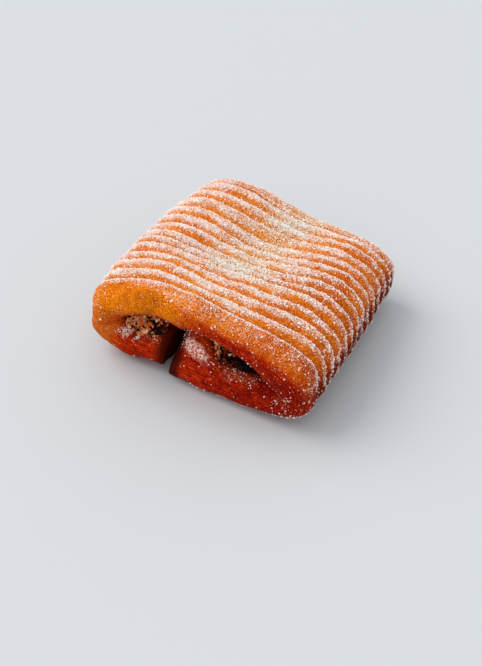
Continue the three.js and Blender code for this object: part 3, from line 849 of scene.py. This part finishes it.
def small_body(name, corners, faces):
    """A body of about 1 mm, to be scattered; it is taken out of the scene again afterwards."""
    made = mesh_object(name, np.array(corners, dtype=float), faces)
    made.data.shade_flat()
    return made


BOX_FACES = [(0, 3, 2, 1), (4, 5, 6, 7), (0, 1, 5, 4), (1, 2, 6, 5), (2, 3, 7, 6), (3, 0, 4, 7)]

# %% [markdown]
# ## Finishes
#
# Shader maths is easier to read as plain expressions. A `Wire` is the output of a node with the usual
# operators, and a `Finish` is a material under construction: its `node` method adds any node.

# %% Tools for finishes
class Wire:
    """An output socket that takes part in expressions."""

    def __init__(self, finish, socket):
        self.finish = finish
        self.socket = socket

    def math(self, operation, *others):
        return self.finish.node("ShaderNodeMath", {"operation": operation}, [self, *others])

    def __add__(self, other):
        return self.math("ADD", other)

    def __sub__(self, other):
        return self.math("SUBTRACT", other)

    def __rsub__(self, other):  # a number less a wire
        return self.finish.node("ShaderNodeMath", {"operation": "SUBTRACT"}, [other, self])

    def __mul__(self, other):
        return self.math("MULTIPLY", other)

    def __pow__(self, other):
        return self.math("POWER", other)

    __radd__ = __add__
    __rmul__ = __mul__

    def clamped(self):
        return self.finish.node("ShaderNodeClamp", {}, [self, 0.0, 1.0])

    def step(self, low, high):
        """0 below low, 1 above high, eased in between."""
        settings = {"interpolation_type": "SMOOTHSTEP"}
        return self.finish.node("ShaderNodeMapRange", settings, [self, low, high, 0.0, 1.0])


class Finish:
    """A material and the nodes in it."""

    def __init__(self, name):
        self.material = bpy.data.materials.new(name)
        self.material.use_nodes = True
        self.tree = self.material.node_tree
        self.tree.nodes.clear()

    def node(self, kind, settings=None, inputs=(), output=0):
        made = self.tree.nodes.new(kind)
        for key, value in (settings or {}).items():
            if key == "stops":
                ramp = made.color_ramp
                while len(ramp.elements) < len(value):
                    ramp.elements.new(0.5)
                for element, (position, colour) in zip(ramp.elements, value):
                    element.position = position
                    element.color = (*colour, 1)
            else:
                setattr(made, key, value)
        pairs = inputs.items() if isinstance(inputs, dict) else enumerate(inputs)
        for key, value in pairs:
            if isinstance(value, Wire):
                self.tree.links.new(value.socket, made.inputs[key])
            else:
                made.inputs[key].default_value = value
        return Wire(self, made.outputs[output]) if made.outputs else None

    def stored(self, name, output="Fac"):
        return self.node("ShaderNodeAttribute", {"attribute_name": name}, output=output)

    def ramp(self, stops, share):
        """A colour from a list of positions and colours."""
        return self.node("ShaderNodeValToRGB", {"stops": stops}, [share])

    def noise(self, where, lump, detail=2.0, roughness=0.55):
        """Noise from 0 to 1 with lumps of the given size in millimetres."""
        inputs = {"Vector": where, "Scale": 1 / (lump * MM), "Detail": detail, "Roughness": roughness}
        return self.node("ShaderNodeTexNoise", {}, inputs)

    def mix(self, start, end, share, blend="MIX"):
        """A colour between two colours, or another blend of the two."""
        start, end = ((*c, 1) if isinstance(c, tuple) else c for c in (start, end))
        settings = {"data_type": "RGBA", "blend_type": blend}
        return self.node("ShaderNodeMix", settings, {0: share, 6: start, 7: end}, output=2)

    def place(self):
        return self.node("ShaderNodeTexCoord", output="Object")

    def stretched(self, where, scale):
        return self.node("ShaderNodeMapping", {}, {"Vector": where, "Scale": scale})

    def bump(self, height, distance, strength=1.0):
        inputs = {"Height": height, "Distance": distance * MM, "Strength": strength}
        return self.node("ShaderNodeBump", {}, inputs)

    def surface(self, **inputs):
        named = {key.replace("_", " "): value for key, value in inputs.items()}
        shader = self.node("ShaderNodeBsdfPrincipled", {}, named)
        self.node("ShaderNodeOutputMaterial", {}, [shader])
        return self.material


print("finishes are built with", [name for name in vars(Finish) if not name.startswith("_")])

# %% [markdown]
# ### The crust
#
# The crust goes from light gold where it was shielded, through orange, to a deep red brown low on the flanks
# and on the folded ends. The dent is a paler gold, the bare lip ochre, and on the right nose melted sugar
# made a patchy glaze, whose white is partly frosted sugar and partly a painted sheen. Painted shade darkens
# the grooves, the pits between the flakes, the openings and the seam. Where sugar lies its finest dust veils
# the orange. The cut faces of the sheet show its layers as fine streaks, which follow the sheet round its
# curl: they read the stored flow, not X or Y.

# %% Colours of the crust
GOLDS = [
    (0.0, (0.92, 0.34, 0.05)), (0.3, (0.86, 0.22, 0.013)), (0.55, (0.66, 0.12, 0.004)),
    (0.8, (0.40, 0.045, 0.002)), (1.0, (0.16, 0.012, 0.001)),
]
REDS = [
    (0.0, (0.88, 0.19, 0.010)), (0.4, (0.70, 0.072, 0.003)), (0.7, (0.47, 0.017, 0.002)),
    (1.0, (0.21, 0.005, 0.001)),
]
PALE_GOLD = (0.84, 0.36, 0.07)
OCHRES = ((0.88, 0.225, 0.003), (0.56, 0.14, 0.002))
# painted shade at the bottom of the score lines
GROOVE_SHADE = (0.30, 0.05, 0.003)
PIT_SHADE = (0.50, 0.34, 0.25)  # painted shade: what the pits between the flakes leave of a colour
IN_SHADE = (0.060, 0.004, 0.001)
DUSTS = ((1.0, 0.72, 0.52), (0.84, 0.84, 0.76))  # thin over the orange, and thick in the drifts
GLAZE_AND_SHEEN = ((0.60, 0.070, 0.015), (1.0, 0.80, 0.70))  # clear, and where it set white; that white is partly frosted sugar and partly a painted sheen
print(len(GOLDS), "golds and", len(REDS), "reds")


# %% Crust
def crust_finish():
    crust = Finish("sugared crust")
    place = crust.place()
    sugar_here, bake_and_shading_here, glaze_here, red_here = (
        crust.stored(name) for name in ("sugar", "bake", "glaze", "red"))
    mottle = crust.noise(place, 3.2, 3.0)
    speckle = crust.noise(place, 0.85, 2.0).step(0.32, 0.68)
    grain = crust.noise(place, 0.50, 0.0).step(0.30, 0.70)
    flakes = grain * 0.6 + speckle * 0.4
    streaks = crust.noise(crust.stretched(crust.stored("flow", "Vector"), (0.12, 1, 1)), 0.7, 3.0, 0.65)

    tone = (bake_and_shading_here + (mottle - 0.5) * 0.3 + (speckle - 0.5) * 0.16).clamped()
    colour = crust.mix(crust.ramp(GOLDS, tone), PALE_GOLD, crust.stored("golden") * 0.7)
    redness = red_here * 0.36 + bake_and_shading_here * 0.54 + (mottle - 0.5) * 0.6 + (speckle - 0.5) * 0.24
    redness = redness - (streaks - 0.5) * 1.6
    colour = crust.mix(colour, crust.ramp(REDS, redness.clamped()), red_here)
    blotches = (crust.noise(place, 9.0, 3.0) + (speckle - 0.5) * 0.10).step(0.40, 0.72)
    colour = crust.mix(colour, crust.mix(*OCHRES, blotches), crust.stored("ochre"))
    # painted shade in the grooves
    colour = crust.mix(colour, GROOVE_SHADE, crust.stored("groove") ** 4.0 * bake_and_shading_here)
    # painted shade in the pits between the flakes
    colour = crust.mix(colour, PIT_SHADE, (1 - flakes.step(0.20, 0.62)) * 0.95, "MULTIPLY")
    colour = crust.mix(colour, IN_SHADE, crust.stored("shade"))

    dust = (flakes + sugar_here * 0.5).step(0.70, 0.95) * (sugar_here * 5.0 - 0.3).clamped()
    colour = crust.mix(colour, crust.mix(*DUSTS, crust.stored("drift")), dust * 0.6)
    # the white of the glaze: partly frosted sugar, partly a painted sheen
    frost_and_sheen = crust.noise(place, 0.85, 1.0, 0.5)
    colour = crust.mix(colour, crust.mix(*GLAZE_AND_SHEEN, frost_and_sheen.step(0.44, 0.60)), glaze_here)
    return crust.surface(
        Base_Color=colour,
        Roughness=(0.5 + sugar_here * 0.3 + (mottle - 0.5) * 0.2 - glaze_here * 0.2).clamped(),
        Specular_IOR_Level=0.02,
        Coat_Weight=glaze_here * 0.35,
        Coat_Roughness=0.35,
        Normal=crust.bump(flakes * 0.5 + streaks * 0.5 + dust * 0.5, 0.2),
    )


crust = crust_finish()
dough.data.materials.append(crust)
print(crust.name, len(crust.node_tree.nodes), "nodes")

# %% [markdown]
# ### Sugar, cream and chocolate
#
# A grain of sugar is clear, but a heap of grains is white, because light leaves each one in all directions.
# So the grains are a white that varies from grain to grain, with a low roughness for the glints.

# %% Sugar
def sugar_finish():
    grains = Finish("coarse sugar")
    tint, heaped = grains.stored("tint"), grains.stored("sugar")
    white = (tint * 0.9 + heaped * 0.3).step(0.1, 0.8)
    clear = grains.mix((1.0, 0.56, 0.38), (1.0, 0.74, 0.44), grains.stored("golden"))
    colour = grains.mix(clear, (1.0, 0.93, 0.90), white)
    colour = grains.mix(colour, (0.90, 0.90, 0.84), (grains.stored("drift") * 0.7).clamped())
    return grains.surface(Base_Color=colour, Roughness=0.25 + tint * 0.3)


sugar_material = sugar_finish()
print(sugar_material.name, len(sugar_material.node_tree.nodes), "nodes")


# %% Cream and chocolate
def filling_finish():
    filling = Finish("chocolate and cream")
    place = filling.place()
    crumbs = filling.noise(place, 1.5, 4.0, 0.7)
    fine = filling.noise(place, 0.5, 2.0)
    shades = [(0.0, (0.004, 0.001, 0.001)), (0.38, (0.012, 0.002, 0.001)), (0.52, (0.13, 0.012, 0.003)),
              (0.72, (0.78, 0.20, 0.025)), (1.0, (1.0, 0.50, 0.22))]
    shade = filling.stored("cream") * 0.70 + (crumbs - 0.5) * 2.2 + (fine - 0.5) * 0.9 + 0.24
    colour = filling.ramp(shades, shade.clamped())
    return filling.surface(Base_Color=colour, Roughness=0.4, Specular_IOR_Level=0.06,
                           Normal=filling.bump(crumbs + fine * 0.5, 0.8))


def chip_finish():
    chips = Finish("dark chocolate chips")
    tint = chips.stored("tint")
    colour = chips.mix((0.003, 0.001, 0.001), (0.34, 0.045, 0.015), tint ** 2.0)
    return chips.surface(Base_Color=colour, Roughness=0.45 + tint * 0.25, Specular_IOR_Level=0.03)


def crumb_finish():
    crumbs = Finish("cream crumbs")
    tint = crumbs.stored("tint")
    colour = crumbs.mix((0.70, 0.11, 0.010), (1.0, 0.58, 0.30), tint ** 1.5)
    grain = crumbs.noise(crumbs.place(), 0.35, 2.0)
    return crumbs.surface(Base_Color=colour, Roughness=0.5, Specular_IOR_Level=0.06,
                          Normal=crumbs.bump(grain, 0.25))


filling_material, chip_material, crumb_material = filling_finish(), chip_finish(), crumb_finish()
for piece in fillings.values():
    piece.data.materials.append(filling_material)
print("finishes:", [material.name for material in bpy.data.materials])

# %% [markdown]
# ## Sugar grains
#
# The grains come in five sieve sizes, each a piece of its own. The two larger are boxes with uneven corners,
# of twelve triangles, and the smaller are fragments of eight and splinters of four. So few are enough,
# because each grain is smaller than a millimetre, and tens of thousands of them are needed.

# %% Sugar grains
CRYSTAL = [(-0.5, -0.42, -0.4), (0.46, -0.5, -0.45), (0.5, 0.4, -0.36), (-0.42, 0.47, -0.44),
           (-0.44, -0.38, 0.42), (0.4, -0.45, 0.38), (0.45, 0.36, 0.46), (-0.5, 0.4, 0.36)]
FRAGMENT = [(-0.5, 0.05, 0), (0.5, -0.05, 0.04), (0.06, -0.46, -0.05), (-0.04, 0.5, 0.03),
            (0.05, 0.04, -0.44), (-0.05, 0, 0.48)]
FRAGMENT_FACES = [(0, 2, 5), (2, 1, 5), (1, 3, 5), (3, 0, 5), (2, 0, 4), (1, 2, 4), (3, 1, 4), (0, 3, 4)]
SPLINTER = [(-0.5, -0.3, -0.25), (0.52, -0.32, -0.2), (0.04, 0.5, -0.22), (0, -0.04, 0.5)]
SPLINTER_FACES = [(0, 2, 1), (0, 1, 3), (1, 2, 3), (2, 0, 3)]
crystal = small_body("crystal", CRYSTAL, BOX_FACES)
fragment = small_body("fragment", FRAGMENT, FRAGMENT_FACES)
splinter = small_body("splinter", SPLINTER, SPLINTER_FACES)
SIEVES = (  # piece, body, pattern, size in mm, grains on a square mm where sugar lies thickest, seed
    ("sugar_coarse", crystal, "coarse", 0.66, 0.8, 11),
    ("sugar_medium", crystal, "sugar", 0.46, 1.2, 12),
    ("sugar_small", fragment, "sugar", 0.38, 2.1, 13),
    ("sugar_fine", splinter, "sugar", 0.36, 4.2, 14),
    ("sugar_dust", splinter, "sugar", 0.28, 4.2, 15),
)
STANDS_OUT = 0.25  # of its size: so far the middle of a grain lies off the crust
sugar_pieces = []
for name, body, pattern, size, per_mm2, seed in SIEVES:
    sugar_pieces.append(scatter(name, dough, body, sugar_material, Pattern=pattern, Density=per_mm2 / MM**2,
                                Size=size, Lift=STANDS_OUT * size * MM, Seed=seed))
for body in (crystal, fragment, splinter):
    bpy.data.objects.remove(body)

# %% [markdown]
# ## Chips and crumbs in the openings
#
# The ends of the filling are strewn with broken chocolate, with crumbs of cream and with a few grains of
# sugar that fell there.

# %% Chips and crumbs
CHIP = [(-0.9, -0.5, -0.2), (0.7, -0.8, -0.25), (0.95, 0.5, -0.15), (-0.6, 0.75, -0.22),
        (-0.7, -0.4, 0.22), (0.6, -0.55, 0.2), (0.8, 0.35, 0.28), (-0.5, 0.6, 0.2)]
chip = small_body("chip", CHIP, BOX_FACES)
crumb = small_body("crumb", CRYSTAL, BOX_FACES)
TOPPINGS = (  # piece, body, finish, pattern, bodies on a square mm where it is 1, size and lift in mm, seed
    ("chips", chip, chip_material, "ends", 0.16, 1.25, 0.15, 21),
    ("crumbs", crumb, crumb_material, "cream", 0.7, 1.3, 0.15, 22),
    ("sugar", crumb, sugar_material, "cream", 1.5, 0.55, 1.0, 23),
)
topping_pieces = []
for filling_name, filling in fillings.items():
    for kind, body, finish, pattern, per_mm2, size, lift, seed in TOPPINGS:
        name = filling_name.replace("filling", kind)
        topping_pieces.append(scatter(name, filling, body, finish, Pattern=pattern, Density=per_mm2 / MM**2,
                                      Size=size, Lift=lift * MM, Seed=seed))
for body in (chip, crumb):
    bpy.data.objects.remove(body)

# %% [markdown]
# ## What stands for what
#
# Each detailed piece replaces the solid that it was worked out from. Nothing here moves, so every piece
# rides on the one body.

# %% Riding and replacing
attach(dough, "root")
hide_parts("dough")
for name, piece in fillings.items():
    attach(piece, "root")
    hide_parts(name)
for piece in sugar_pieces:
    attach(piece, "root")
for piece in topping_pieces:
    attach(piece, "root")
print("pieces:", [piece.name for piece in [dough, *fillings.values(), *sugar_pieces, *topping_pieces]])

# %% [markdown]
# ## Table, light and camera
#
# The pastry lies on a plain pale table under soft light from the left. The camera stands in front, to
# the right, and looks down by about forty degrees.

# %% Table
TABLE_HALF = 1.5
table = mesh_object("table", np.array([(-1, -1, 0), (1, -1, 0), (1, 1, 0), (-1, 1, 0)]) * TABLE_HALF / MM,
                    [(0, 1, 2, 3)])
pale = Finish("pale table")
table.data.materials.append(pale.surface(Base_Color=(0.60, 0.61, 0.63, 1), Roughness=0.6))
print("table", 2 * TABLE_HALF, "m wide")


# %% Light
def aimed(made, place, target):
    """Puts a light or the camera in its place, looking at the target."""
    made.location = Vector(place)
    made.rotation_euler = (Vector(target) - Vector(place)).to_track_quat("-Z", "Y").to_euler()
    bpy.context.scene.collection.objects.link(made)


SUN = {"from": (-0.9, -0.12, 0.88), "strength": 1.68, "spread": 50, "colour": (1.0, 0.97, 0.92)}
ROOM = {"Color": (0.92, 0.965, 1.0, 1), "Strength": 0.86}
sun = bpy.data.lights.new("window", "SUN")
sun.energy, sun.angle, sun.color = SUN["strength"], math.radians(SUN["spread"]), SUN["colour"]
aimed(bpy.data.objects.new("window", sun), SUN["from"], (0, 0, 0))
world = bpy.data.worlds.new("room")
bpy.context.scene.world = world
world.use_nodes = True
for name, value in ROOM.items():
    world.node_tree.nodes["Background"].inputs[name].default_value = value
bpy.context.scene.view_settings.view_transform = "Standard"
print("sun", round(sun.energy, 2), "room", ROOM["Strength"])

# %% Camera
CAMERA = {"azimuth": 30.35, "elevation": 40.54, "distance": 0.57467, "target": (-0.001765, -0.00639, 0.0)}
SENSOR = 36.0  # millimetres, the height of the picture on the sensor
FOCAL_SHARE = 1300 / 666  # focal length over the height of the picture, both in pixels
azimuth, elevation = math.radians(CAMERA["azimuth"]), math.radians(CAMERA["elevation"])
backward = Vector((math.sin(azimuth) * math.cos(elevation), -math.cos(azimuth) * math.cos(elevation),
                   math.sin(elevation)))
lens = bpy.data.cameras.new("camera")
lens.sensor_fit = "VERTICAL"
lens.sensor_height = SENSOR
lens.lens = FOCAL_SHARE * SENSOR
camera = bpy.data.objects.new("camera", lens)
target = Vector(CAMERA["target"])
aimed(camera, target + backward * CAMERA["distance"], target)
bpy.context.scene.camera = camera
print("camera at", [round(v, 3) for v in camera.location])

# %% [markdown]
